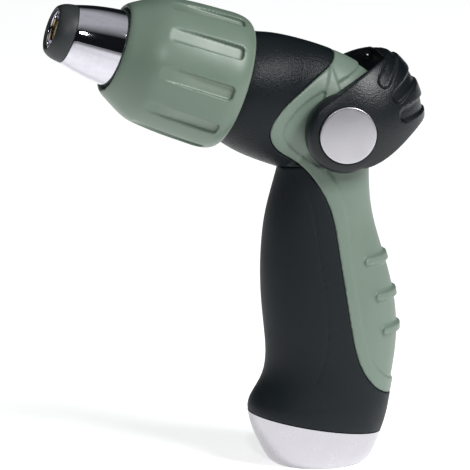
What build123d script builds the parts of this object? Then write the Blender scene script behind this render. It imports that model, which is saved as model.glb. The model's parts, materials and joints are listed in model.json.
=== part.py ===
"""Garden hose spray nozzle with a thumb lever valve and a twist collar.

Frame: millimetres, +Z up along the handle, +X forward on the side the water leaves, +Y to the
tool's left.  The origin is the centre of the hose inlet's mouth, on the flat of the foot.

The barrel leans up from the handle.  Shapes of the barrel are drawn in the barrel plane, whose
first coordinate u runs along the barrel axis from the head's centre and whose second, v, is the
distance above that axis.  Heights in the side view are drawn for a head centre DRAWN_HEIGHT up
and stretch with HEAD_Z.
"""
from build123d import *
from math import asin, cos, degrees, radians, sin
import os

# ---------------------------------------------------------------- driving dimensions
HEAD_X = -7.5                # centre of the head and the hood, on the barrel axis
HEAD_Z = 126.0
DRAWN_HEIGHT = 126.0
PIVOT_AHEAD = 1.6            # lever pivot, from the head's centre
PIVOT_BELOW = 1.5
BARREL_TILT = 19.5           # barrel axis above level, degrees

SHELL_WALL = 2.4             # skins of the handle and the barrel
SEAM = 0.12                  # seam between two skins
STEP_DEPTH = 0.8             # panel field below its border
RUNNING = 0.06               # radial clearance of a journal
CLEARANCE = 0.3              # clearance between pieces that pass each other

# hose thread, 3/4 in garden hose, 11.5 threads to the inch, female
THREAD_MINOR_R = 12.35
THREAD_DEPTH = 1.15
THREAD_PITCH = 25.4 / 11.5
THREAD_TURNS = 4
THREAD_LEAD_IN = 0.9
WASHER_THICK = 3.0
WASHER_BORE_R = 8.0
SCREEN_THICK = 0.5
SCREEN_HOLE = 1.3
SCREEN_PITCH = 2.3
INSERT_WALL = 1.5
INSERT_FLOOR = 2.0

# foot
FOOT_FLAT_A = 16.4           # half length and half width of the flat that the tool stands on
FOOT_FLAT_B = 15.9
CAP_SEAM_Z = 14.6            # seam between the silver cap and the grip, on the Z axis
CAP_SEAM_TILT = 9.8          # degrees, higher in front
CAP_BOSS_WALL = 1.6          # round the hose insert
CAP_BOSS_TOP = 9.0

# water way
TUBE_R = 9.0                 # handle tube, outside
WATER_R = 5.5                # its bore
PORT_R = 2.7                 # valve ports

# valve
PLUG_R = 9.2
PLUG_HALF = 7.6
HOUSING_WALL = 3.3
STUB_R = 5.5
BUSH_LENGTH = 3.7
BUSH_FLANGE = 0.8
BUSH_FLANGE_R = PLUG_R + 1.6
PLUG_RING_R = 0.75           # section radius of the plug's O-rings
PLUG_RING_Y = PLUG_HALF - 1.6
SEAT_R = 4.6
SEAT_THICK = 2.2
SEAT_GAP = 0.5               # between plug and seat
LEVER_THROW = 35.0           # degrees from shut to open

# lever
HUB_R = 14.7
HUB_FACE_Y = 23.6
HUB_EDGE_R = 3.2             # rounding of the hubs' free edges
ARM_INNER_Y = 16.9
HOOD_R = 31.4                # thumb bar's outside, from the head's centre
HOOD_INNER_R = 27.6
HOOD_HALF = HUB_FACE_Y + 0.9 # half width of the hood's oval, if the hub faces did not cut it
INNER_CORNER_R = 11.0
SOCKET_FIT = 0.1             # square socket over the plug's end
SQUARE = 7.4                 # square ends of the plug
SQUARE_END_Y = 18.4
WEB = 1.5                    # lever floor that the screw clamps
CAP_R = 10.35                # silver caps
CAP_THICK = 2.0
CAP_PROUD = 0.4
CAP_DOME = 0.5
SCREW_R = 1.7
SCREW_HEAD_R = 3.4
SCREW_HEAD = 1.2
SCREW_LENGTH = 9.0
WASHER_R = 4.6
WASHER_T = 0.7
PAD_THICK = 1.7
PAD_HALF = 14.0
PAD_CORNER_R = 5.0
PAD_TOP = 50.0               # degrees above level, looking back from the head's centre
PAD_BOTTOM = 3.0
THUMB_GROOVES = (52.0, 31.0, 11.0)   # directions of the grooves, as PAD_TOP
THUMB_GROOVE = 1.0           # their depth
THUMB_GROOVE_WIDTH = 5.0
THUMB_GROOVE_R = 18.6        # their rounded ends, from the head's centre

# barrel, stations along u
SHELL_FRONT_U = 41.6
TUBE_BODY_R = 14.2           # nozzle tube, which the journal clears
JOURNAL_R = TUBE_BODY_R + 3.3
SHELL_FRONT_R = JOURNAL_R + 3.0
JOURNAL_END_U = 58.0
BARREL_TUBE_R = 11.5
NECK_U = 47.0
NECK_END_U = 68.0
NECK_R = 9.6
NECK_BORE_R = 6.6
NECK_RING_U = 63.2
NECK_RING_R = 0.8
KEY_HEIGHT = 2.8             # guide ribs on the neck
KEY_WIDTH = 3.0
KEY_END_U = 57.0

# twist collar
COLLAR_REAR_U = 41.0
COLLAR_FRONT_U = 87.2
COLLAR_R = JOURNAL_R + 7.4
COLLAR_BORE_R = JOURNAL_R + 3.0
NUT_ROOM_R = JOURNAL_R + 0.5 # bore in front of the nut
LIP_R = TUBE_BODY_R + 1.3
FLANGE_END_U = 55.0
GROOVES = 10
GROOVE_WIDTH = 5.2
GROOVE_FLOOR = COLLAR_R - 1.8
GROOVE_REAR_U = 46.4
GROOVE_END_U = 76.0         # they run out before this, where the skin narrows
NUT_REAR_U = 60.0
NUT_END_U = 72.0
RING_U = 55.4
RING_T = 1.4
RING_R = JOURNAL_R + 1.9

# nozzle tube
TUBE_REAR_U = 50.5
TIP_U = 111.4
SHOULDER_R = 10.85
SHOULDER_U = TIP_U - 6.6
TAPER_U = SHOULDER_U - 20.8  # where the tube starts to narrow
NOSE_R = 8.3
OPENING_R = 6.9
THROAT_R = 3.9
SEAT_U = TIP_U - 17.4
SEAT_LENGTH = 4.0
SLOT_REAR_U = 49.5           # slots for the neck's guide ribs
SLOT_END_U = 61.0

# jet stem
STEM_R = 1.9
STEM_HEAD_R = 3.8
STEM_HEAD_U = TIP_U - 5.0
STEM_HEAD_LENGTH = 3.2
SPIDER_THICK = 3.0

# ---------------------------------------------------------------- planes and helpers
TILT = radians(BARREL_TILT)
HEAD = Vector(HEAD_X, 0, HEAD_Z)
PIVOT = HEAD + Vector(PIVOT_AHEAD, 0, -PIVOT_BELOW)
ALONG = Vector(cos(TILT), 0, sin(TILT))
BARREL = Plane(origin=HEAD, x_dir=ALONG, z_dir=(0, -1, 0))     # (u, v)
HEAD_SIDE = Plane(origin=HEAD, x_dir=(1, 0, 0), z_dir=(0, -1, 0))  # (forward, up) from the head
BARREL_AXIS = Axis(HEAD, ALONG)
HEAD_AXIS = Axis(HEAD, (0, 1, 0))
STRETCH = HEAD_Z / DRAWN_HEIGHT


def turned(outline, plane=BARREL, axis=BARREL_AXIS):
    """A body of revolution from a closed outline of (along, radius) points."""
    return revolve(plane * make_face(Polyline(*outline, close=True)), axis)


def ring(u0, u1, outer, inner=0.0):
    """A plain ring on the barrel axis from u0 to u1."""
    return turned([(u0, inner), (u1, inner), (u1, outer), (u0, outer)])


def cross_ring(y0, y1, outer, inner=0.0, centre=PIVOT):
    """A plain ring on the pivot axis, between two places along Y."""
    base = Plane(origin=(centre.X, y0, centre.Z), z_dir=(0, 1, 0))
    profile = Circle(outer) - Circle(inner) if inner else Circle(outer)
    return extrude(base * profile, y1 - y0)


def across(face, half=60.0):
    """A side-view face given thickness both ways along Y."""
    return extrude(face, half, both=True)


def both_sides(solid):
    """The solid and its mirror image on the tool's other side."""
    return solid, mirror(solid, about=Plane.XZ)


# ---------------------------------------------------------------- outer form
# barrel and head: (u, half height, half width)
HEAD_STATIONS = [
    (-19.5, 6.5, 7.5), (-16.0, 12.5, 12.0), (-8.0, 18.7, 15.2), (0.0, 21.5, 15.8),
    (7.0, 22.7, 15.8), (14.0, 23.3, 16.0), (21.0, 23.3, 17.6), (28.0, 22.9, 19.7),
    (35.0, 21.9, 20.8), (SHELL_FRONT_U, SHELL_FRONT_R, SHELL_FRONT_R),
]
# handle: (height, front, rear, half width)
HANDLE_STATIONS = [
    (0.0, FOOT_FLAT_A, -FOOT_FLAT_A, FOOT_FLAT_B), (1.6, 18.4, -18.9, 17.4),
    (6.0, 20.9, -21.2, 18.8), (12.0, 23.7, -23.6, 19.9), (18.0, 25.4, -25.4, 20.5),
    (21.5, 25.5, -26.1, 20.4), (26.0, 23.5, -26.9, 19.6), (31.0, 20.7, -27.8, 18.9),
    (37.0, 19.2, -28.8, 18.5), (46.0, 19.3, -29.7, 18.6), (56.0, 20.3, -29.3, 18.8),
    (68.0, 21.0, -27.1, 18.6), (80.0, 20.7, -23.6, 17.8), (92.0, 19.2, -20.5, 16.8),
    (103.0, 16.4, -19.4, 15.8), (112.0, 14.2, -19.2, 15.2), (122.0, 12.0, -18.5, 14.6),
]


def head_form(grow=0.0, front=SHELL_FRONT_U):
    """The barrel's smooth outer form, grown or shrunk by an even amount."""
    sections = [
        Plane(origin=HEAD + ALONG * u, x_dir=(0, 1, 0), z_dir=ALONG)
        * Ellipse(width + grow, height + grow)
        for u, height, width in HEAD_STATIONS if u <= front
    ]
    return loft(sections)


def handle_form(grow=0.0):
    """The handle's smooth outer form, from the foot to inside the head."""
    sections = [
        Plane.XY.offset(z * STRETCH) * Pos((front + rear) / 2, 0)
        * Ellipse((front - rear) / 2 + grow, width + grow)
        for z, front, rear, width in HANDLE_STATIONS
    ]
    return loft(sections)


# ---------------------------------------------------------------- side-view outlines
# seam between the black skins and the green panel, from over the head down to the foot
PANEL_FRONT = [(-5.5, 156.0), (-5.2, 150.5), (2.0, 144.6), (9.4, 139.7), (18.1, 132.6),
               (21.3, 125.2), (17.6, 117.9), (9.3, 112.0), (3.8, 105.6), (-1.3, 95.0),
               (-3.9, 81.0), (-6.2, 65.8), (-8.4, 52.0), (-13.5, 35.0), (-20.0, 27.6),
               (-32.0, 24.5)]
PANEL_BACK_X = -48.0
# border lines inside the panel
HEAD_FIELD = [(-20.0, 149.5), (-7.4, 142.9), (1.0, 139.4), (12.9, 131.6), (16.3, 124.4),
              (12.1, 117.6), (3.4, 111.5)]
HANDLE_FIELD = [(0.8, 111.0), (-4.7, 101.8), (-8.1, 84.0), (-10.3, 65.5), (-14.3, 45.5),
                (-18.5, 36.6), (-24.5, 31.0), (-33.0, 28.5)]
RIB_FRONTS = [(-14.2, 75.6), (-18.4, 62.2), (-21.2, 49.4)]
RIB_HEIGHT = 2.9
RIB_PROUD = 0.5              # ribs above the panel's border
RIB_LENGTH = 40.0
POINTER = [(-2.6, 147.6), (1.2, 135.8), (-5.5, 137.4)]
POINTER_PROUD = 0.7
GRIP_LINE = [(16.6, 111.4), (7.5, 102.2), (4.2, 85.4), (1.3, 62.9), (0.9, 44.3), (5.9, 31.0)]
GRIP_LINE_WIDTH = 0.9         # fine groove along the grip
GRIP_LINE_DEPTH = 0.4
CHIN = [(30.0, 98.5), (16.2, 109.2), (6.0, 111.6), (-12.0, 113.0)]   # barrel skin above grip


def side_face(front_points, back_x=PANEL_BACK_X, shift=0.0):
    """The side-view region behind a smooth line, back to a straight edge."""
    points = [(x - shift, z * STRETCH) for x, z in front_points]
    edge = Spline(*points)
    top = (back_x, points[0][1])
    low = (back_x, points[-1][1])
    border = Polyline(points[-1], low, top, points[0])
    return Plane.XZ * make_face(edge + border)


def side_polygon(points):
    """A side-view region inside straight lines, stretched as the outlines are."""
    return Plane.XZ * make_face(Polyline(*[(x, z * STRETCH) for x, z in points], close=True))


def panel_region(shift=0.0):
    return across(side_face(PANEL_FRONT, shift=shift))


def chin_region():
    """Everything above the seam between barrel skin and grip."""
    return across(side_polygon([*CHIN, (-12.0, 190.0), (80.0, 190.0), (80.0, 98.5)]))


def rib_slot(x, z):
    """One of the three level ribs across the back of the handle."""
    return across(Plane.XZ * Pos(x - RIB_LENGTH / 2, z * STRETCH)
                  * SlotOverall(RIB_LENGTH, RIB_HEIGHT))


CAP_PLANE = Plane(origin=(0, 0, CAP_SEAM_Z), x_dir=(cos(radians(CAP_SEAM_TILT)), 0,
                                                  sin(radians(CAP_SEAM_TILT))),
                  z_dir=(-sin(radians(CAP_SEAM_TILT)), 0, cos(radians(CAP_SEAM_TILT))))


def above_cap(gap=0.0):
    return extrude(CAP_PLANE.offset(gap) * Rectangle(160, 160), 220)


# ---------------------------------------------------------------- valve and water way
HOUSING_R = PLUG_R + RUNNING + HOUSING_WALL
HOUSING_HALF = PLUG_HALF + BUSH_LENGTH + 0.1
INLET_TOP_Z = THREAD_LEAD_IN + THREAD_TURNS * THREAD_PITCH + WASHER_THICK + SCREEN_THICK
INSERT_R = THREAD_MINOR_R + THREAD_DEPTH + INSERT_WALL
INSERT_TOP_Z = INLET_TOP_Z + INSERT_FLOOR
TUBE_FOOT = Vector(0, 0, INSERT_TOP_Z)
TUBE_DIR = (TUBE_FOOT - PIVOT).normalized()
TUBE_LENGTH = (PIVOT - TUBE_FOOT).length
PORT_ANGLE = degrees(asin(PORT_R / PLUG_R))


def along_tube(radius, start, end):
    """A rod on the handle tube's line, measured down from the pivot."""
    return extrude(Plane(origin=PIVOT + TUBE_DIR * start, z_dir=TUBE_DIR) * Circle(radius),
                   end - start)


def along_barrel(radius, start, end):
    return extrude(Plane(origin=HEAD + ALONG * start, z_dir=ALONG) * Circle(radius),
                   end - start)


def along_outlet(radius, start, end):
    """A rod from the pivot towards the barrel, for the valve's outlet port."""
    return extrude(Plane(origin=PIVOT + ALONG * start, z_dir=ALONG) * Circle(radius),
                   end - start)


def seat_ring(rod):
    """The pocket of one valve seat: a disc on a port, just outside the plug."""
    start = PLUG_R + SEAT_GAP
    return rod(SEAT_R, start, start + SEAT_THICK)


def inner_form():
    return head_form(-SHELL_WALL, front=35.0) + handle_form(-SHELL_WALL)


def valve_pocket():
    """Room in the skins for the valve housing and the bushes' flanges."""
    room = cross_ring(-HOUSING_HALF, HOUSING_HALF, HOUSING_R)
    face = HOUSING_HALF + BUSH_FLANGE
    return room + cross_ring(-face, face, BUSH_FLANGE_R)


CORE_RIBS = (24.0, 38.0, 53.0, 68.0, 83.0, 98.0)


def handle_core(inside):
    """Water body: tube, valve housing and neck, with ribs that hold the skins."""
    tube = along_tube(TUBE_R, 0, TUBE_LENGTH)
    barrel = along_barrel(BARREL_TUBE_R, 0, NECK_U) + along_barrel(NECK_R, NECK_U, NECK_END_U)
    housing = cross_ring(-HOUSING_HALF, HOUSING_HALF, HOUSING_R)
    # ribs reach the inside of the skins and hold them
    ribs = [Pos(0, 0, z * STRETCH) * Box(90, 60, 2.0) for z in CORE_RIBS]
    discs = [along_barrel(40, u, u + 2.0) for u in (20.0, 31.0)]
    body = tube + barrel + housing
    for rib in ribs + discs:
        body += rib & inside
    # guide ribs that keep the nozzle tube from turning
    for side in (1, -1):
        key = BARREL * Pos((NECK_U + KEY_END_U) / 2, 0, side * (NECK_R + KEY_HEIGHT / 2 - 0.2))
        body += key * Box(KEY_END_U - NECK_U, KEY_WIDTH, KEY_HEIGHT)
    foot = extrude(Plane(origin=(0, 0, INSERT_TOP_Z)) * Circle(INSERT_R), 3.0)
    body += foot
    # bores
    body -= along_tube(WATER_R, SEAT_R + PLUG_R, TUBE_LENGTH + 5)
    body -= along_tube(PORT_R, 0, SEAT_R + PLUG_R + 1)
    body -= along_outlet(PORT_R, 0, SEAT_R + PLUG_R + 1)
    body -= along_barrel(NECK_BORE_R - 0.8, SEAT_R + PLUG_R, NECK_END_U)
    body -= along_barrel(NECK_BORE_R, NECK_END_U - 8.0, NECK_END_U + 1)
    body -= cross_ring(-HOUSING_HALF - 1, HOUSING_HALF + 1, PLUG_R + RUNNING)
    body -= seat_ring(along_tube) + seat_ring(along_outlet)
    for side in (1, -1):
        body -= cross_ring(side * HOUSING_HALF, side * (HOUSING_HALF + 10), BUSH_FLANGE_R + 0.1)
    groove = 2 * NECK_RING_R + 0.3
    body -= ring(NECK_RING_U - groove / 2, NECK_RING_U + groove / 2, NECK_R + 1,
                 NECK_R - 2 * NECK_RING_R)
    return body & extrude(Plane.XY.offset(INSERT_TOP_Z) * Rectangle(300, 300), 300)


def barrel_skin_neck():
    """The journal in front of the barrel's skin, with the snap ring's groove."""
    solid = ring(SHELL_FRONT_U - 0.4, JOURNAL_END_U, JOURNAL_R, BARREL_TUBE_R)
    solid -= ring(RING_U - 0.05, RING_U + RING_T + 0.05, JOURNAL_R + 1, JOURNAL_R - 1.0)
    # clear of the nozzle tube's rear end
    return solid - ring(NECK_U, JOURNAL_END_U + 1, TUBE_BODY_R + CLEARANCE)


def jet_stem():
    """Brass stem on a spider with four water holes, with a cone that meets the jet seat."""
    rear = NECK_END_U - 8.0
    spider = ring(rear, rear + SPIDER_THICK, NECK_BORE_R)
    hole_circle = (STEM_R + NECK_BORE_R) / 2
    for k in range(4):
        turn = Rotation(90 * k + 45, 0, 0)
        spider -= BARREL.location * turn * Pos(rear + SPIDER_THICK / 2, hole_circle, 0) \
            * Rotation(0, 90, 0) * Cylinder(1.5, 2 * SPIDER_THICK)
    front = STEM_HEAD_U + STEM_HEAD_LENGTH
    stem = turned([(rear, 0), (front, 0), (front, STEM_HEAD_R - 0.5),
                   (front - 0.5, STEM_HEAD_R), (STEM_HEAD_U, STEM_HEAD_R),
                   (STEM_HEAD_U - 3.6, STEM_R), (rear, STEM_R)])
    return spider + stem


def valve_plug():
    plug = cross_ring(-PLUG_HALF, PLUG_HALF, PLUG_R)
    plug += cross_ring(-ARM_INNER_Y, ARM_INNER_Y, STUB_R)
    half = Plane(origin=PIVOT, z_dir=(0, 1, 0)) * Rectangle(SQUARE, SQUARE)
    plug += extrude(half, SQUARE_END_Y, both=True) & cross_ring(-30, 30, STUB_R - 0.35)
    shut = Rot(0, -LEVER_THROW, 0)
    back = Pos(*PIVOT) * shut * Pos(*(PIVOT * -1))
    plug -= back * (along_tube(PORT_R, 0, PLUG_R + 3) + along_outlet(PORT_R, 0, PLUG_R + 3))
    gap = 2 * PLUG_RING_R + 0.3
    for side in (1, -1):
        y = side * PLUG_RING_Y
        plug -= cross_ring(y - gap / 2, y + gap / 2, PLUG_R + 1, PLUG_R - 2 * PLUG_RING_R)
        plug -= cross_ring(*sorted((side * 8.0, side * 30.0)), SCREW_R)
    return plug


def plug_o_rings():
    centre = PLUG_R - PLUG_RING_R
    base = Plane(origin=PIVOT, z_dir=(0, 1, 0))
    return Compound([base * Pos(0, 0, y) * Torus(centre, PLUG_RING_R)
                     for y in (PLUG_RING_Y, -PLUG_RING_Y)])


def valve_bush():
    """Left-hand bush: a sleeve in the housing's bore with a flange on its face."""
    sleeve = cross_ring(PLUG_HALF + 0.1, HOUSING_HALF, PLUG_R + RUNNING, STUB_R + RUNNING)
    flange = cross_ring(HOUSING_HALF, HOUSING_HALF + BUSH_FLANGE, BUSH_FLANGE_R,
                        STUB_R + RUNNING)
    return sleeve + flange


def valve_seats():
    return Compound([seat_ring(rod) - rod(PORT_R, 0, 2 * PLUG_R)
                     for rod in (along_tube, along_outlet)])


# ---------------------------------------------------------------- lever
# side outline of hood and arms from the head's centre: front line going up and back, then the lower edge
ARM_FRONT = [(13.2, 6.4), (6.6, 11.4), (-3.3, 18.1), (-10.0, 21.7), (-17.0, 24.0), (-26.0, 26.2)]
ARM_BOTTOM = [(-36.0, 1.0), (-28.5, -0.8), (-22.0, -5.1), (-15.2, -10.2), (-5.0, -14.6)]


def hood_outline():
    top = Spline(*ARM_FRONT)
    low = Spline(*ARM_BOTTOM)
    back = Polyline(ARM_FRONT[-1], (-40.0, 26.2), (-40.0, 1.0), ARM_BOTTOM[0])
    close = Line(ARM_BOTTOM[-1], ARM_FRONT[0])
    return make_face(top + back + low + close)


def half_oval(grow, reach, edge):
    """Half of the hood's section beyond its axis: an oval cut by the hub faces."""
    arc = EllipticalCenterArc((0, 0), HOOD_HALF + grow, HOOD_R + grow, 0, arc_size=180)
    oval = make_face(arc + Line(arc @ 1, arc @ 0))
    face = oval & Pos(0, reach / 2) * Rectangle(2 * HUB_FACE_Y, reach)
    return fillet(face.vertices().group_by(Axis.Y)[-1], edge) if edge else face


def hood_outer(grow=0.0):
    """The oval that the hood's outside follows, turned about the head's axis."""
    plane = Plane(origin=HEAD, x_dir=(0, 1, 0), z_dir=(1, 0, 0))
    return revolve(plane * half_oval(grow, 2 * HOOD_R, 0), HEAD_AXIS)


def hubs():
    """Rounded discs round the pivot on both sides."""
    plane = Plane(origin=PIVOT, x_dir=(0, 1, 0), z_dir=(1, 0, 0))
    return revolve(plane * half_oval(0, HUB_R, HUB_EDGE_R), Axis(PIVOT, (0, 1, 0)))


def hood_inner():
    solid = cross_ring(-ARM_INNER_Y, ARM_INNER_Y, HOOD_INNER_R, centre=HEAD)
    return fillet(solid.edges(), INNER_CORNER_R)


def thumb_grooves():
    """Shallow grooves over the hood's back that end rounded on its sides."""
    length = 2 * HOOD_R
    bars = [HEAD_SIDE * Rot(0, 0, 180 - angle) * Pos(THUMB_GROOVE_R + length / 2, 0)
            * SlotOverall(length, THUMB_GROOVE_WIDTH) for angle in THUMB_GROOVES]
    kept = hood_outer(-THUMB_GROOVE)
    return [across(bar) - kept for bar in bars]


def thumb_lever():
    arms = across(HEAD_SIDE * hood_outline()) & hood_outer()
    lever = arms + hubs() - hood_inner()
    for side in (1, -1):
        def hole(y0, y1, outer):
            return cross_ring(*sorted((side * y0, side * y1)), outer)
        opening = SQUARE + SOCKET_FIT
        square = Plane(origin=PIVOT, z_dir=(0, side, 0)) * Rectangle(opening, opening)
        lever -= hole(0, ARM_INNER_Y, HUB_R)
        lever -= extrude(square, SQUARE_END_Y + SOCKET_FIT) & hole(10, 30, STUB_R - 0.3)
        floor = SQUARE_END_Y + SOCKET_FIT + WEB
        lever -= hole(SQUARE_END_Y, floor + 1, SCREW_R + 0.2)
        lever -= hole(floor, 30, WASHER_R + 1.6)
        lever -= hole(HUB_FACE_Y - CAP_THICK + CAP_PROUD, 30, CAP_R + 0.08)
    lever -= pad_recess()
    for groove in thumb_grooves():
        lever -= groove
    return lever


def pad_window():
    """The rounded window that the pad fills, looking along the middle of the pad."""
    middle = radians((PAD_TOP + PAD_BOTTOM) / 2)
    look = Plane(origin=HEAD, x_dir=(0, 1, 0), z_dir=(-cos(middle), 0, sin(middle)))
    height = 2 * HOOD_R * sin(radians((PAD_TOP - PAD_BOTTOM) / 2))
    return extrude(look * RectangleRounded(2 * PAD_HALF, height, PAD_CORNER_R), 60)


def pad_recess():
    return pad_window() - hood_outer(-PAD_THICK)


def thumb_pad():
    pad = hood_outer() & pad_recess()
    for groove in thumb_grooves():
        pad -= groove
    return pad


def pivot_cap():
    """Left-hand silver cap: a disc with a slightly domed face."""
    y0 = HUB_FACE_Y - CAP_THICK + CAP_PROUD
    crown = HUB_FACE_Y + CAP_PROUD + CAP_DOME
    dome_r = (CAP_R ** 2 + CAP_DOME ** 2) / (2 * CAP_DOME)
    cap = cross_ring(y0, crown, CAP_R) & Pos(PIVOT.X, crown - dome_r, PIVOT.Z) * Sphere(dome_r)
    return fillet(cap.edges().group_by(Axis.Y)[-1], 0.3)


def lever_screw():
    y0 = SQUARE_END_Y + SOCKET_FIT + WEB + WASHER_T
    head = fillet(cross_ring(y0, y0 + SCREW_HEAD, SCREW_HEAD_R).edges().group_by(Axis.Y)[-1], 0.5)
    slot = Plane(origin=(PIVOT.X, y0 + SCREW_HEAD, PIVOT.Z), z_dir=(0, 1, 0))
    head -= extrude(slot * (Rectangle(3.6, 0.8) + Rectangle(0.8, 3.6)), 0.7, both=True)
    return head + cross_ring(y0 - SCREW_LENGTH, y0, SCREW_R)


def lever_washer():
    y0 = SQUARE_END_Y + SOCKET_FIT + WEB
    return cross_ring(y0, y0 + WASHER_T, WASHER_R, SCREW_R + 0.2)


# ---------------------------------------------------------------- collar and nozzle tube
def spray_collar():
    # (station, how far the skin lies below COLLAR_R)
    below = [
        (COLLAR_REAR_U, 3.7), (COLLAR_REAR_U + 0.4, 2.7), (COLLAR_REAR_U + 2.2, 1.0),
        (COLLAR_REAR_U + 4.6, 0.2), (52.0, 0.0), (62.0, 0.4), (70.0, 1.1), (75.2, 2.0),
        (79.0, 3.6), (84.0, 6.4), (COLLAR_FRONT_U - 0.8, 7.9), (COLLAR_FRONT_U, 8.7),
    ]
    outline = [(u, COLLAR_R - down) for u, down in below]
    skin = Spline(*outline)
    rest_u = COLLAR_REAR_U + 2.2         # shoulder that the shell's front edge runs in
    bore = Polyline(
        outline[-1], (COLLAR_FRONT_U, LIP_R), (84.0, LIP_R), (79.0, NUT_ROOM_R),
        (NUT_END_U, NUT_ROOM_R), (NUT_END_U, COLLAR_BORE_R), (FLANGE_END_U, COLLAR_BORE_R),
        (FLANGE_END_U, JOURNAL_R + RUNNING), (rest_u, JOURNAL_R + RUNNING),
        (rest_u, SHELL_FRONT_R + 0.5), outline[0])
    collar = revolve(BARREL * make_face(skin + bore), BARREL_AXIS)
    length = GROOVE_END_U - GROOVE_REAR_U
    groove = extrude(Plane.XY.offset(GROOVE_FLOOR) * Pos((GROOVE_REAR_U + GROOVE_END_U) / 2, 0)
                     * RectangleRounded(length, GROOVE_WIDTH, 1.4), 10)
    for k in range(GROOVES):
        collar -= BARREL.location * Rotation(360 / GROOVES * k, 0, 0) * groove
    return collar


def drive_nut():
    """Drives the nozzle tube in and out as the collar turns."""
    return ring(NUT_REAR_U, NUT_END_U, COLLAR_BORE_R, TUBE_BODY_R + CLEARANCE)


def nozzle_tube():
    bore = NECK_R + 0.1
    skin = Spline((TAPER_U, TUBE_BODY_R), (TAPER_U + 6.0, TUBE_BODY_R - 0.2),
                  (TAPER_U + 14.0, TUBE_BODY_R - 1.4), (SHOULDER_U, SHOULDER_R))
    rest = Polyline(
        (SHOULDER_U, SHOULDER_R), (SHOULDER_U, NOSE_R), (TIP_U - 1.0, NOSE_R),
        (TIP_U - 1.0, OPENING_R), (SEAT_U + 7.5, THROAT_R + 1.1),
        (SEAT_U + SEAT_LENGTH, THROAT_R + 1.1), (SEAT_U + SEAT_LENGTH, bore),
        (TUBE_REAR_U, bore), (TUBE_REAR_U, TUBE_BODY_R - 1), (TUBE_REAR_U + 1.0, TUBE_BODY_R),
        (TAPER_U, TUBE_BODY_R))
    tube = revolve(BARREL * make_face(skin + rest), BARREL_AXIS)
    for side in (1, -1):
        slot = BARREL * Pos((SLOT_REAR_U + SLOT_END_U) / 2, 0, side * (NECK_R + 1.4))
        tube -= slot * Box(SLOT_END_U - SLOT_REAR_U, KEY_WIDTH + CLEARANCE, 8.0)
    return tube


def tip_bumper():
    mouth = OPENING_R + 0.2
    skin = Spline((SHOULDER_U, SHOULDER_R - 0.1), (SHOULDER_U + 3.0, SHOULDER_R - 0.9),
                  (TIP_U - 0.6, NOSE_R + 0.6), (TIP_U, mouth + 1.0))
    rest = Polyline((TIP_U, mouth + 1.0), (TIP_U, mouth), (TIP_U - 1.0, mouth),
                    (TIP_U - 1.0, NOSE_R), (SHOULDER_U, NOSE_R), (SHOULDER_U, SHOULDER_R - 0.1))
    return revolve(BARREL * make_face(skin + rest), BARREL_AXIS)


def jet_seat():
    front, outer = SEAT_U + SEAT_LENGTH, NECK_R + 0.1
    return turned([(SEAT_U, THROAT_R + 2.0), (SEAT_U + 2.2, THROAT_R), (front, THROAT_R),
                   (front, outer), (SEAT_U, outer)])


def collar_retaining_ring():
    hoop = ring(RING_U, RING_U + RING_T, RING_R, JOURNAL_R - 1.0)
    gap = BARREL * Pos(RING_U, -RING_R, 0) * Box(6, 8, 5)
    return hoop - gap


def neck_o_ring():
    base = Plane(origin=HEAD + ALONG * NECK_RING_U, z_dir=ALONG)
    return base * Torus(NECK_R - NECK_RING_R, NECK_RING_R)


# ---------------------------------------------------------------- foot
def hose_inlet():
    """Brass insert: ring lands and grooves stand for the thread's turns."""
    solid = extrude(Plane.XY * Circle(INSERT_R), INSERT_TOP_Z)
    solid -= extrude(Plane.XY * Circle(THREAD_MINOR_R), INLET_TOP_Z)
    solid -= extrude(Plane.XY * Circle(WATER_R + 0.5), INSERT_TOP_Z + 1)
    pocket = INLET_TOP_Z - WASHER_THICK - SCREEN_THICK
    solid -= Plane.XY.offset(pocket) * extrude(Circle(THREAD_MINOR_R + 0.7), WASHER_THICK
                                               + SCREEN_THICK)
    inner, outer = THREAD_MINOR_R - 0.2, THREAD_MINOR_R + THREAD_DEPTH
    half = THREAD_PITCH * 0.36
    for k in range(THREAD_TURNS):
        z = THREAD_LEAD_IN + (k + 0.5) * THREAD_PITCH
        face = make_face(Polyline((inner, z - half), (outer, z - 0.3), (outer, z + 0.3),
                                  (inner, z + half), close=True))
        solid -= revolve(Plane.XZ * face, Axis.Z)
    return solid


def hose_washer():
    z0 = INLET_TOP_Z - WASHER_THICK - SCREEN_THICK
    return Plane.XY.offset(z0) * extrude(Circle(THREAD_MINOR_R + 0.65) - Circle(WASHER_BORE_R),
                                         WASHER_THICK)


def filter_screen():
    disc = Circle(THREAD_MINOR_R + 0.6)
    reach = int(WASHER_BORE_R / SCREEN_PITCH)
    span = range(-reach, reach + 1)
    holes = [Pos(i * SCREEN_PITCH, j * SCREEN_PITCH) * Rectangle(SCREEN_HOLE, SCREEN_HOLE)
             for i in span for j in span
             if (i * i + j * j) ** 0.5 * SCREEN_PITCH < WASHER_BORE_R - SCREEN_HOLE]
    return extrude(Plane.XY.offset(INLET_TOP_Z - SCREEN_THICK) * (disc - holes), SCREEN_THICK)


def end_cap(outer, inside):
    """Bowl with a floor and a boss round the hose insert."""
    cap = outer - inside.intersect(extrude(Plane.XY.offset(SHELL_WALL) * Rectangle(200, 200), 200))
    cap -= above_cap()
    cap += extrude(Plane.XY * Circle(INSERT_R + CAP_BOSS_WALL), CAP_BOSS_TOP)
    return cap - extrude(Plane.XY * Circle(INSERT_R), 60)


# ---------------------------------------------------------------- skins
def skins():
    """Whole outer form, the room inside it, the skin between, and the skin's top layer."""
    outer = head_form() + handle_form()
    inside = inner_form()
    layer = outer - (head_form(-STEP_DEPTH) + handle_form(-STEP_DEPTH))
    return outer, inside, outer - inside, layer


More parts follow.
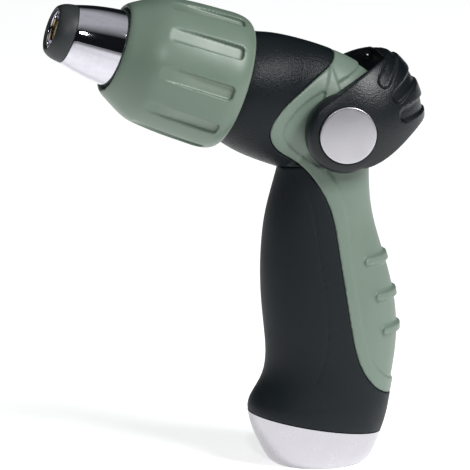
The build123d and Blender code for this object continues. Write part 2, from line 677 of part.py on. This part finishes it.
def green_panel(upper, layer):
    """Rear skin with a sunk field inside its border, three ribs and a pointer."""
    panel = upper & panel_region(SEAM)
    fields = across(side_face(HEAD_FIELD)) + across(side_face(HANDLE_FIELD))
    for x, z in RIB_FRONTS:
        fields -= rib_slot(x, z)
    fields -= across(side_polygon(POINTER))
    panel -= layer & fields
    proud = handle_form(RIB_PROUD) - handle_form(-STEP_DEPTH / 2)
    for x, z in RIB_FRONTS:
        panel += proud & rib_slot(x, z)
    arrow = head_form(POINTER_PROUD) - head_form(-STEP_DEPTH / 2)
    return panel + (arrow & across(side_polygon(POINTER)))


def grip_line():
    """The fine groove that follows the grip's front, on both sides."""
    strip = across(side_face(GRIP_LINE)) - across(side_face(GRIP_LINE, shift=GRIP_LINE_WIDTH))
    return (handle_form(1.0) - handle_form(-GRIP_LINE_DEPTH)) & strip


def main():
    os.makedirs("parts", exist_ok=True)
    outer, inside, shell, layer = skins()
    upper = shell & above_cap(SEAM)
    upper -= cross_ring(-60, 60, STUB_R + CLEARANCE)
    upper -= valve_pocket()

    green = green_panel(upper, layer)
    black = upper - panel_region()
    barrel_black = black & chin_region()
    barrel_black += barrel_skin_neck()
    barrel_black -= along_barrel(BARREL_TUBE_R, 0, SHELL_FRONT_U + 10)
    grip_black = black - chin_region() - grip_line()

    cap = end_cap(outer, inside)

    core = handle_core(inside & above_cap(SHELL_WALL))

    parts = {
        "handle_core": core,
        "barrel_shell": barrel_black,
        "front_grip": grip_black,
        "rear_panel": green,
        "end_cap": cap,
        "hose_inlet": hose_inlet(),
        "hose_washer": hose_washer(),
        "filter_screen": filter_screen(),
        "jet_stem": jet_stem(),
        "neck_o_ring": neck_o_ring(),
        "collar_retaining_ring": collar_retaining_ring(),
        "valve_seats": valve_seats(),
        "valve_bush_left": valve_bush(),
        "valve_bush_right": both_sides(valve_bush())[1],
        "thumb_lever": thumb_lever(),
        "thumb_pad": thumb_pad(),
        "pivot_cap_left": pivot_cap(),
        "pivot_cap_right": both_sides(pivot_cap())[1],
        "valve_plug": valve_plug(),
        "plug_o_rings": plug_o_rings(),
        "lever_screws": Compound(list(both_sides(lever_screw()))),
        "lever_washers": Compound(list(both_sides(lever_washer()))),
        "spray_collar": spray_collar(),
        "drive_nut": drive_nut(),
        "nozzle_tube": nozzle_tube(),
        "tip_bumper": tip_bumper(),
        "jet_seat": jet_seat(),
    }
    for name, solid in parts.items():
        export_step(solid, f"parts/{name}.step")


main()
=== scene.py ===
"""Garden hose spray nozzle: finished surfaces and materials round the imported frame.

All lengths are metres in the frame's own coordinates: +Z up along the handle, +X towards the spray
tip, +Y to the tool's left.  Turned pieces are drawn as (station, radius) outlines along an axis.
"""

import json
import math

import bmesh
import bpy
from mathutils import Matrix, Vector


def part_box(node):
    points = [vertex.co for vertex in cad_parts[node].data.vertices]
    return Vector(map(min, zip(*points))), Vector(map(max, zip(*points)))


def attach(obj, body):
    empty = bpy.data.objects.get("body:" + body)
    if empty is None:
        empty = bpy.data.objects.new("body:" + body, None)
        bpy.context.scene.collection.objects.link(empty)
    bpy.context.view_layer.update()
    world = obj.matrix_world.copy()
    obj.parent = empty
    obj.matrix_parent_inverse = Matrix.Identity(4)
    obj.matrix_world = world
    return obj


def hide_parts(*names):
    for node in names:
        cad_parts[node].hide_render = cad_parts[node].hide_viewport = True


bl_info = {
    "name": "Hose Spray Nozzle",
    "version": (1, 0, 0),
    "blender": (4, 5, 0),
    "location": "3D View > Sidebar > Nozzle",
    "description": "Builds the surfaces and materials of a garden hose spray nozzle",
    "category": "Object",
}

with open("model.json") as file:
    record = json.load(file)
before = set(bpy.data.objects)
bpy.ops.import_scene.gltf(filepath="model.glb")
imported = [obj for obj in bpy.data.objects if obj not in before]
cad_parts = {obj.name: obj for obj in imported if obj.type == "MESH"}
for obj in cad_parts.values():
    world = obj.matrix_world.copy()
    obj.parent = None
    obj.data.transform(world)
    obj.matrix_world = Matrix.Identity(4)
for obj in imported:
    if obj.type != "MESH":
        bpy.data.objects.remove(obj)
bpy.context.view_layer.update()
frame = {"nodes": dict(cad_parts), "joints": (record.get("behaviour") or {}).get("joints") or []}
MM = 0.001

JOINTS = {joint["name"]: joint for joint in frame["joints"]}
PIVOT = Vector(JOINTS["lever_swing"]["pos_m"])
HEAD = Vector(JOINTS["collar_twist"]["pos_m"])
BARREL_DIR = Vector(JOINTS["collar_twist"]["axis"]).normalized()

MERGE_MM = 0.002                # points of a CAD node closer than this are one point
SPUN_MERGE_MM = 0.004           # the same for a turned piece, which closes its seam and poles
SHARP_ANGLE = math.radians(28)  # edges that a turned piece has softened
CRISP_ANGLE = math.radians(32)  # edges that a machined copy keeps

# chrome tube, stations along the barrel and radii, in millimetres
TUBE_REAR, TUBE_TAPER, TUBE_SHOULDER, TUBE_NOSE = 50.5, 84.0, 104.8, 110.4
TUBE_R, NECK_BORE_R, KEY_ROOM_R, KEY_ROOM_END = 14.3, 9.7, 12.6, 61.5
NOSE_R, MOUTH_R, THROAT_R, THROAT_REAR = 8.3, 6.9, 5.0, 98.0
GROOVE_FLOOR_R = 23.1           # collar's grooves, from the barrel axis

# camera, from the middle of the tool
CAMERA_TURN, CAMERA_RISE = math.radians(12.0), math.radians(13.0)
CAMERA_DISTANCE, CAMERA_WIDTH = 3.0, 0.1692
CAMERA_TARGET = Vector((0.0305, 0.0, 0.0845))
SENSOR = 36.0
LAMP_TARGET = Vector((0.02, 0, 0.09))


# ------------------------------------------------------------------ small helpers
def linear(code):
    """An sRGB hex colour as linear red, green and blue."""
    values = [int(code[i:i + 2], 16) / 255 for i in (1, 3, 5)]
    return tuple(v / 12.92 if v <= 0.04045 else ((v + 0.055) / 1.055) ** 2.4 for v in values)


def colour(title, code, about):
    return bpy.props.FloatVectorProperty(
        name=title, description=about, subtype="COLOR", size=3, min=0.0, max=1.0,
        default=linear(code))


def length(title, millimetres, about):
    return bpy.props.FloatProperty(
        name=title, description=about, default=millimetres * MM, min=0.0, unit="LENGTH",
        precision=5)


def barrel_place():
    """Maps x = station along the barrel, y and z = across, into the frame."""
    across = Vector((0, 1, 0))
    up = BARREL_DIR.cross(across)
    turn = Matrix((BARREL_DIR, across, up)).transposed()
    return Matrix.Translation(HEAD) @ turn.to_4x4()


def cross_place(side):
    """Maps x = distance from the middle plane along Y, on the pivot's line."""
    turn = Matrix(((0, 1, 0), (side, 0, 0), (0, 0, 1)))
    return Matrix.Translation(PIVOT) @ turn.to_4x4()


def finished(name, bm, body, slot, *nodes):
    """Turns a bmesh into a smooth piece that rides on a body and stands for CAD nodes."""
    mesh = bpy.data.meshes.new(name)
    bm.to_mesh(mesh)
    bm.free()
    mesh.shade_smooth()
    piece = bpy.data.objects.new(name, mesh)
    bpy.context.scene.collection.objects.link(piece)
    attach(piece, body)
    if nodes:
        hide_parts(*nodes)
    return piece


def spun(outline, steps=128, soften=0.0, segments=3, closed=True):
    """Spins a (station, radius) outline, in millimetres, once round the local X axis."""
    bm = bmesh.new()
    verts = [bm.verts.new((x * MM, 0, r * MM)) for x, r in outline]
    pairs = list(zip(verts, verts[1:]))
    if closed:
        pairs.append((verts[-1], verts[0]))
    edges = [bm.edges.new(pair) for pair in pairs]
    bmesh.ops.spin(bm, geom=verts + edges, cent=(0, 0, 0), axis=(1, 0, 0), dvec=(0, 0, 0),
                   angle=math.tau, steps=steps, use_merge=True, use_duplicate=False)
    bmesh.ops.remove_doubles(bm, verts=bm.verts, dist=SPUN_MERGE_MM * MM)
    bmesh.ops.recalc_face_normals(bm, faces=bm.faces)
    if soften:
        sharp = [e for e in bm.edges if len(e.link_faces) == 2
                 and e.calc_face_angle() > SHARP_ANGLE]
        bmesh.ops.bevel(bm, geom=sharp, offset=soften * MM, offset_type="OFFSET",
                        segments=segments, profile=0.5, affect="EDGES", clamp_overlap=True,
                        material=-1)
    return bm


def bend(start, handle, end, count):
    """Points of a quadratic curve, the first left out."""
    points = []
    for i in range(1, count + 1):
        t = i / count
        points.append(tuple(a * (1 - t) ** 2 + 2 * b * t * (1 - t) + c * t * t
                            for a, b, c in zip(start, handle, end)))
    return points


def moulded(name, nodes, body, slot, grain, rounding):
    """A closed skin round CAD nodes whose edges are rounded as a moulding's are."""
    bm = bmesh.new()
    for node in nodes:
        bm.from_mesh(frame["nodes"][node].data)
    bmesh.ops.remove_doubles(bm, verts=bm.verts, dist=MERGE_MM * MM)
    piece = finished(name, bm, body, slot, *nodes)
    remesh = piece.modifiers.new("even grid", "REMESH")
    remesh.mode = "VOXEL"
    remesh.voxel_size = grain * MM
    remesh.use_smooth_shade = True
    smooth = piece.modifiers.new("edge rounding", "SMOOTH")
    smooth.factor = 0.5
    smooth.iterations = rounding
    deps = bpy.context.evaluated_depsgraph_get()
    shaped = bpy.data.meshes.new_from_object(piece.evaluated_get(deps))
    piece.modifiers.clear()
    piece.data = shaped
    piece.data.shade_smooth()
    return piece


def machined(name, node, body, slot):
    """A merged copy of one CAD node: smooth faces, crisp edges."""
    bm = bmesh.new()
    bm.from_mesh(frame["nodes"][node].data)
    bmesh.ops.remove_doubles(bm, verts=bm.verts, dist=MERGE_MM * MM)
    bmesh.ops.recalc_face_normals(bm, faces=bm.faces)
    piece = finished(name, bm, body, slot, node)
    piece.data.set_sharp_from_angle(angle=CRISP_ANGLE)
    return piece


# ------------------------------------------------------------------ materials
def add(tree, kind, links=(), **settings):
    """Adds one node with its settings; links are (input, output socket) pairs."""
    node = tree.nodes.new(kind)
    for key, value in settings.items():
        setattr(node, key, value)
    for socket, source in links:
        if isinstance(source, bpy.types.NodeSocket):
            tree.links.new(source, node.inputs[socket])
        else:
            node.inputs[socket].default_value = source
    return node


def rgba(triple):
    return (*triple, 1.0)


def surface(name):
    """A new material with one Principled shader and its output."""
    material = bpy.data.materials.new(name)
    material.use_nodes = True
    tree = material.node_tree
    tree.nodes.clear()
    shader = add(tree, "ShaderNodeBsdfPrincipled")
    add(tree, "ShaderNodeOutputMaterial", [("Surface", shader.outputs["BSDF"])])
    place = add(tree, "ShaderNodeTexCoord").outputs["Object"]
    return material, tree, shader, place


def bumped(tree, shader, height, relief_mm, strength):
    """Drives the shader's normal from a height pattern."""
    bump = add(tree, "ShaderNodeBump", [("Height", height), ("Distance", relief_mm * MM),
                                        ("Strength", strength)])
    tree.links.new(bump.outputs["Normal"], shader.inputs["Normal"])


def moulded_plastic(name, base, rough, grain_mm, relief_mm, mottle=0.06, shine=0.5):
    """Moulded plastic: an etched tool texture, slightly uneven gloss and colour."""
    material, tree, shader, place = surface(name)
    shader.inputs["IOR"].default_value = 1.5
    shader.inputs["Specular IOR Level"].default_value = shine
    grain = add(tree, "ShaderNodeTexNoise", [("Vector", place), ("Scale", 1 / (grain_mm * MM)),
                                             ("Detail", 2.0), ("Roughness", 0.6)])
    cloud = add(tree, "ShaderNodeTexNoise", [("Vector", place), ("Scale", 1 / (9 * MM)),
                                             ("Detail", 3.0)])
    light = tuple(min(1.0, c * (1 + mottle)) for c in base)
    dark = tuple(c * (1 - mottle) for c in base)
    tint = add(tree, "ShaderNodeMix", [("Factor", cloud.outputs["Fac"]), ("A", rgba(dark)),
                                       ("B", rgba(light))], data_type="RGBA")
    tree.links.new(tint.outputs["Result"], shader.inputs["Base Color"])
    gloss = add(tree, "ShaderNodeMapRange", [("Value", cloud.outputs["Fac"]), ("From Min", 0.3),
                                             ("From Max", 0.7), ("To Min", rough - 0.03),
                                             ("To Max", rough + 0.03)])
    tree.links.new(gloss.outputs["Result"], shader.inputs["Roughness"])
    bumped(tree, shader, grain.outputs["Fac"], relief_mm, 1.0)
    return material


def plated_metal(name, base, rough, grain_mm, relief_mm):
    """Plated or machined metal: a metallic base with a fine even finish."""
    material, tree, shader, place = surface(name)
    shader.inputs["Metallic"].default_value = 1.0
    grain = add(tree, "ShaderNodeTexNoise", [("Vector", place), ("Scale", 1 / (grain_mm * MM)),
                                             ("Detail", 2.0)])
    tint = add(tree, "ShaderNodeMix", [
        ("Factor", grain.outputs["Fac"]), ("A", rgba(tuple(c * 0.9 for c in base))),
        ("B", rgba(tuple(min(1.0, c * 1.1) for c in base)))], data_type="RGBA")
    tree.links.new(tint.outputs["Result"], shader.inputs["Base Color"])
    cloud = add(tree, "ShaderNodeTexNoise", [("Vector", place), ("Scale", 1 / (6 * MM))])
    gloss = add(tree, "ShaderNodeMapRange", [("Value", cloud.outputs["Fac"]), ("From Min", 0.3),
                                             ("From Max", 0.7), ("To Min", rough * 0.85),
                                             ("To Max", rough * 1.15)])
    tree.links.new(gloss.outputs["Result"], shader.inputs["Roughness"])
    bumped(tree, shader, grain.outputs["Fac"], relief_mm, 0.4)
    return material


def groove_painted_highlight(material, floor_mm, highlight_colour):
    """Paints a highlight: paler colour on the floors of the collar's grooves, by distance from its
    axis, fading out towards the front.
    """
    tree = material.node_tree
    shader = next(n for n in tree.nodes if n.type == "BSDF_PRINCIPLED")
    place = next(n for n in tree.nodes if n.type == "TEX_COORD").outputs["Object"]
    tilt = math.atan2(BARREL_DIR.z, BARREL_DIR.x)
    flat = barrel_place().inverted()
    turned = add(tree, "ShaderNodeMapping", [("Vector", place)])
    turned.inputs["Rotation"].default_value = (0, tilt, 0)
    turned.inputs["Location"].default_value = flat @ Vector((0, 0, 0))
    apart = add(tree, "ShaderNodeSeparateXYZ", [("Vector", turned.outputs["Vector"])])
    across = add(tree, "ShaderNodeCombineXYZ", [("Y", apart.outputs["Y"]), ("Z", apart.outputs["Z"])])
    radius = add(tree, "ShaderNodeVectorMath", [(0, across.outputs["Vector"])], operation="LENGTH")
    inside = add(tree, "ShaderNodeMapRange", [
        ("Value", radius.outputs["Value"]), ("From Min", (floor_mm + 0.15) * MM),
        ("From Max", (floor_mm + 0.5) * MM), ("To Min", 1.0), ("To Max", 0.0)])
    rear = add(tree, "ShaderNodeMapRange", [
        ("Value", apart.outputs["X"]), ("From Min", 70 * MM), ("From Max", 62 * MM)])
    # mask of the painted highlight: the groove floors, fading out between stations 62 and 70 mm
    highlight_mask = add(tree, "ShaderNodeMath", [(0, inside.outputs["Result"]), (1, rear.outputs["Result"])],
               operation="MULTIPLY")
    before = shader.inputs["Base Color"].links[0].from_socket
    tint = add(tree, "ShaderNodeMix", [("Factor", highlight_mask.outputs["Value"]), ("A", before),
                                       ("B", rgba(highlight_colour))], data_type="RGBA")
    tree.links.new(tint.outputs["Result"], shader.inputs["Base Color"])


# ------------------------------------------------------------------ properties
class NozzleSizes(bpy.types.PropertyGroup):
    """Sizes of the finished surfaces."""
    skin_grid: length("Skin grid", 0.5, "Spacing of the faces on the moulded skins")
    collar_grid: length("Collar grid", 0.46, "Spacing of the faces on the twist collar")
    lever_grid: length("Lever grid", 0.42, "Spacing of the faces on the thumb lever")
    edge_soft: length("Edge softening", 0.3, "Rounding of the turned pieces' edges")


class NozzleColours(bpy.types.PropertyGroup):
    """Colours of the finishes."""
    green: colour("Grey-green ABS", "#6f7f73", "Panel on the head and handle")
    collar: colour("Collar green", "#697b6d", "Twist collar")
    black: colour("Black ABS", "#0a1216", "Barrel skin")
    grip: colour("Grip rubber", "#10181c", "Soft-touch grip")
    lever: colour("Lever black", "#0a1115", "Thumb lever")
    silver: colour("Satin silver", "#bfbdc2", "Foot and pivot caps")
    chrome: colour("Chrome", "#d2d0d8", "Nozzle tube")
    brass: colour("Brass", "#d8bc72", "Jet stem and hose insert")
    rubber: colour("Black rubber", "#24292a", "Tip ring and seals")


def sizes():
    return bpy.context.scene.nozzle_sizes


def colours():
    return bpy.context.scene.nozzle_colours


def dress(material, *names):
    """Gives a material to CAD nodes or finished pieces."""
    for name in names:
        piece = frame["nodes"].get(name) or bpy.data.objects[name]
        piece.data.materials.clear()
        piece.data.materials.append(material)


# ------------------------------------------------------------------ operators
class NOZZLE_OT_body_skins(bpy.types.Operator):
    """Barrel skin, grip, green panel and silver foot"""
    bl_idname = "nozzle.body_skins"
    bl_label = "Body Skins"

    def execute(self, context):
        tone = colours()
        grid = sizes().skin_grid / MM
        moulded("barrel_skin", ["barrel_shell"], "body", "barrel_black", grid, 4)
        moulded("grip_skin", ["front_grip"], "body", "grip_rubber", grid, 4)
        moulded("panel_skin", ["rear_panel"], "body", "body_green", grid, 3)
        machined("foot_bowl", "end_cap", "body", "satin_silver")
        # dark even skin with a fine grain that breaks up the highlight
        dress(moulded_plastic("moulded black ABS", tone.black, 0.38, 0.7, 0.2, shine=0.2),
              "barrel_skin")
        # dull black, with hardly any highlight
        dress(moulded_plastic("soft-touch rubber", tone.grip, 0.55, 0.6, 0.07, shine=0.25),
              "grip_skin")
        # grey-green with a soft sheen and a slightly uneven tone
        dress(moulded_plastic("moulded green ABS", tone.green, 0.42, 0.4, 0.02, shine=0.4),
              "panel_skin")
        # bright, blurred reflections with a fine sparkle
        dress(plated_metal("satin silver plating", tone.silver, 0.3, 0.3, 0.004), "foot_bowl")
        return {"FINISHED"}


class NOZZLE_OT_lever(bpy.types.Operator):
    """Thumb lever"""
    bl_idname = "nozzle.lever"
    bl_label = "Thumb Lever"

    def execute(self, context):
        moulded("lever_hood", ["thumb_lever", "thumb_pad"], "lever", "lever_black",
                sizes().lever_grid / MM, 4)
        # smoother and glossier than the barrel, so its edges catch the light
        dress(moulded_plastic("satin black ABS", colours().lever, 0.34, 0.6, 0.12, shine=0.4),
              "lever_hood")
        return {"FINISHED"}


class NOZZLE_OT_pivot_caps(bpy.types.Operator):
    """Silver discs over the lever's screws"""
    bl_idname = "nozzle.pivot_caps"
    bl_label = "Pivot Caps"

    def execute(self, context):
        # an even pale disc with a faint grain
        silver = plated_metal("blasted silver plating", colours().silver, 0.34, 0.3, 0.006)
        for side, node in ((1, "pivot_cap_left"), (-1, "pivot_cap_right")):
            low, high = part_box(node)
            radius = (high.x - low.x) / 2 / MM
            inner, outer = sorted(abs(v) / MM for v in (low.y, high.y))
            dome = outer - 0.5
            outline = [(inner, 0.0), (inner, radius), (dome, radius)]
            outline += bend((dome, radius), (outer, radius * 0.5), (outer, 0.0), 10)
            bm = spun(outline, soften=sizes().edge_soft / MM, closed=False)
            bmesh.ops.transform(bm, matrix=cross_place(side), verts=bm.verts)
            bmesh.ops.recalc_face_normals(bm, faces=bm.faces)
            piece = finished(node + "_disc", bm, "lever", "satin_silver", node)
            piece.data.materials.append(silver)
        return {"FINISHED"}


class NOZZLE_OT_collar(bpy.types.Operator):
    """Twist collar with its finger grooves"""
    bl_idname = "nozzle.collar"
    bl_label = "Twist Collar"

    def execute(self, context):
        moulded("collar_skin", ["spray_collar"], "collar", "collar_green",
                sizes().collar_grid / MM, 1)
        # a little softer than the panel, with a painted highlight: paler floors in the grooves
        plastic = moulded_plastic("soft green plastic", colours().collar, 0.38, 0.3, 0.01)
        groove_painted_highlight(plastic, GROOVE_FLOOR_R, linear("#7a897b"))
        dress(plastic, "collar_skin")
        return {"FINISHED"}


class NOZZLE_OT_nozzle(bpy.types.Operator):
    """Chrome tube and rubber tip ring"""
    bl_idname = "nozzle.nozzle"
    bl_label = "Nozzle Tube"

    def execute(self, context):
        # a mirror: it shows the room as dark and bright bands along the tube
        chrome = plated_metal("chrome plating", colours().chrome, 0.05, 2.0, 0.002)
        # the bore is wider as far as the neck's keys reach
        outline = [(TUBE_REAR, KEY_ROOM_R), (TUBE_REAR, 13.2), (TUBE_REAR + 1, 14.2),
                   (TUBE_TAPER, TUBE_R)]
        outline += bend((TUBE_TAPER, TUBE_R), (96.0, 13.6), (TUBE_SHOULDER, 10.85), 14)
        outline += [(TUBE_SHOULDER, NOSE_R), (TUBE_NOSE, NOSE_R), (TUBE_NOSE, MOUTH_R)]
        outline += bend((TUBE_NOSE, MOUTH_R), (106.0, 6.6), (101.5, THROAT_R), 8)
        outline += [(THROAT_REAR, THROAT_R), (THROAT_REAR, NECK_BORE_R),
                    (KEY_ROOM_END, NECK_BORE_R), (KEY_ROOM_END, KEY_ROOM_R)]
        bm = spun(outline, steps=160, soften=0.2)
        bmesh.ops.transform(bm, matrix=barrel_place(), verts=bm.verts)
        tube = finished("chrome_tube", bm, "nozzle", "chrome", "nozzle_tube")
        tube.data.materials.append(chrome)

        ring = [(104.9, 8.3), (104.9, 10.75), (107.0, 10.45)]
        ring += bend((107.0, 10.45), (109.6, 10.0), (111.0, 8.7), 6)
        ring += bend((111.0, 8.7), (111.5, 8.1), (111.3, 7.3), 4)
        ring += [(110.4, 7.1), (110.4, 8.3)]
        bm = spun(ring, steps=128, soften=0.15)
        bmesh.ops.transform(bm, matrix=barrel_place(), verts=bm.verts)
        bumper = finished("rubber_tip", bm, "nozzle", "tip_rubber", "tip_bumper")
        # dull dark ring that ends the chrome
        bumper.data.materials.append(
            moulded_plastic("moulded black rubber", colours().rubber, 0.5, 0.4, 0.02))
        return {"FINISHED"}


class NOZZLE_OT_hidden_works(bpy.types.Operator):
    """Materials of the water body, the valve, seals, stem and fasteners"""
    bl_idname = "nozzle.hidden_works"
    bl_label = "Hidden Works"

    def execute(self, context):
        tone = colours()
        # flat charcoal, warm bright brass, dull seals, grey steel and ivory bearings
        dress(moulded_plastic("glass-filled nylon", linear("#2c2e30"), 0.55, 0.5, 0.02),
              "handle_core")
        dress(plated_metal("turned brass", tone.brass, 0.22, 0.15, 0.004),
              "jet_stem", "hose_inlet", "valve_plug")
        dress(moulded_plastic("nitrile rubber", tone.rubber, 0.55, 0.4, 0.015),
              "hose_washer", "neck_o_ring", "plug_o_rings")
        dress(plated_metal("stainless steel", linear("#b9bbbe"), 0.28, 0.2, 0.003),
              "filter_screen", "collar_retaining_ring", "lever_screws", "lever_washers")
        dress(moulded_plastic("natural acetal", linear("#e4e2da"), 0.4, 0.5, 0.01),
              "valve_seats", "valve_bush_left", "valve_bush_right", "drive_nut", "jet_seat")
        return {"FINISHED"}


class NOZZLE_OT_stage(bpy.types.Operator):
    """Pale floor, soft lights and the camera"""
    bl_idname = "nozzle.stage"
    bl_label = "Stage"

    def execute(self, context):
        scene = context.scene
        bm = bmesh.new()
        bmesh.ops.create_grid(bm, x_segments=1, y_segments=1, size=6.0)
        mesh = bpy.data.meshes.new("floor")
        bm.to_mesh(mesh)
        bm.free()
        floor = bpy.data.objects.new("floor", mesh)
        scene.collection.objects.link(floor)
        material, tree, shader, place = surface("pale paper floor")
        shader.inputs["Roughness"].default_value = 0.9
        shader.inputs["Emission Color"].default_value = rgba(linear("#ffffff"))
        # the pool of light ends in front of the tool, so its undersides and chrome stay dark
        apart = add(tree, "ShaderNodeSeparateXYZ", [("Vector", place)])
        pool = add(tree, "ShaderNodeMapRange", [
            ("Value", apart.outputs["Y"]), ("From Min", 0.05), ("From Max", 0.35),
            ("To Min", 0.62), ("To Max", 0.1)])
        tree.links.new(pool.outputs["Result"], shader.inputs["Emission Strength"])
        fibre = add(tree, "ShaderNodeTexNoise", [("Vector", place), ("Scale", 1 / (40 * MM))])
        tint = add(tree, "ShaderNodeMix", [
            ("Factor", fibre.outputs["Fac"]), ("A", rgba(linear("#f4f4f4"))),
            ("B", rgba(linear("#fbfbfb")))], data_type="RGBA")
        tree.links.new(tint.outputs["Result"], shader.inputs["Base Color"])
        floor.data.materials.append(material)

        world = bpy.data.worlds.new("studio")
        scene.world = world
        world.use_nodes = True
        tree = world.node_tree
        way = add(tree, "ShaderNodeTexCoord").outputs["Generated"]
        height = add(tree, "ShaderNodeSeparateXYZ", [("Vector", way)])
        sky = add(tree, "ShaderNodeValToRGB", [("Fac", height.outputs["Z"])])
        sky.color_ramp.elements[0].color = rgba(linear("#1c1e20"))
        sky.color_ramp.elements[0].position = 0.6
        sky.color_ramp.elements[1].color = rgba(linear("#d9dcde"))
        sky.color_ramp.elements[1].position = 0.9
        tree.links.new(sky.outputs["Color"], tree.nodes["Background"].inputs["Color"])
        tree.nodes["Background"].inputs["Strength"].default_value = 0.75
        scene.view_settings.view_transform = "Standard"

        for name, place, size, power in (
                ("key", (-0.55, 0.58, 0.78), 0.42, 9.5), ("spot", (0.20, 0.80, 0.62), 0.10, 1.6)):
            light = bpy.data.lights.new(name, "AREA")
            light.size = size
            light.energy = power
            lamp = bpy.data.objects.new(name, light)
            lamp.location = place
            lamp.rotation_euler = (LAMP_TARGET - Vector(place)).to_track_quat(
                "-Z", "Y").to_euler()
            scene.collection.objects.link(lamp)

        level = math.cos(CAMERA_RISE)
        towards = Vector((math.sin(CAMERA_TURN) * level, math.cos(CAMERA_TURN) * level,
                          math.sin(CAMERA_RISE)))
        camera = bpy.data.cameras.new("camera")
        camera.lens = SENSOR * CAMERA_DISTANCE / CAMERA_WIDTH
        view = bpy.data.objects.new("camera", camera)
        view.location = CAMERA_TARGET + towards * CAMERA_DISTANCE
        view.rotation_euler = (-towards).to_track_quat("-Z", "Y").to_euler()
        scene.collection.objects.link(view)
        scene.camera = view
        return {"FINISHED"}


class NOZZLE_PT_panel(bpy.types.Panel):
    """Builds the nozzle piece by piece"""
    bl_idname = "NOZZLE_PT_panel"
    bl_label = "Hose Spray Nozzle"
    bl_space_type = "VIEW_3D"
    bl_region_type = "UI"
    bl_category = "Nozzle"

    def draw(self, context):
        for group in (context.scene.nozzle_sizes, context.scene.nozzle_colours):
            for name in group.__annotations__:
                self.layout.prop(group, name)
        for operator in OPERATORS:
            self.layout.operator(operator.bl_idname)


OPERATORS = (NOZZLE_OT_body_skins, NOZZLE_OT_lever, NOZZLE_OT_pivot_caps, NOZZLE_OT_collar,
             NOZZLE_OT_nozzle, NOZZLE_OT_hidden_works, NOZZLE_OT_stage)
CLASSES = (NozzleSizes, NozzleColours, *OPERATORS, NOZZLE_PT_panel)


def register():
    for cls in CLASSES:
        bpy.utils.register_class(cls)
    bpy.types.Scene.nozzle_sizes = bpy.props.PointerProperty(type=NozzleSizes)
    bpy.types.Scene.nozzle_colours = bpy.props.PointerProperty(type=NozzleColours)


def unregister():
    del bpy.types.Scene.nozzle_colours
    del bpy.types.Scene.nozzle_sizes
    for cls in reversed(CLASSES):
        bpy.utils.unregister_class(cls)


def main():
    register()
    for name in ("body_skins", "lever", "pivot_caps", "collar", "nozzle", "hidden_works", "stage"):
        getattr(bpy.ops.nozzle, name)()


if __name__ == "__main__":
    main()
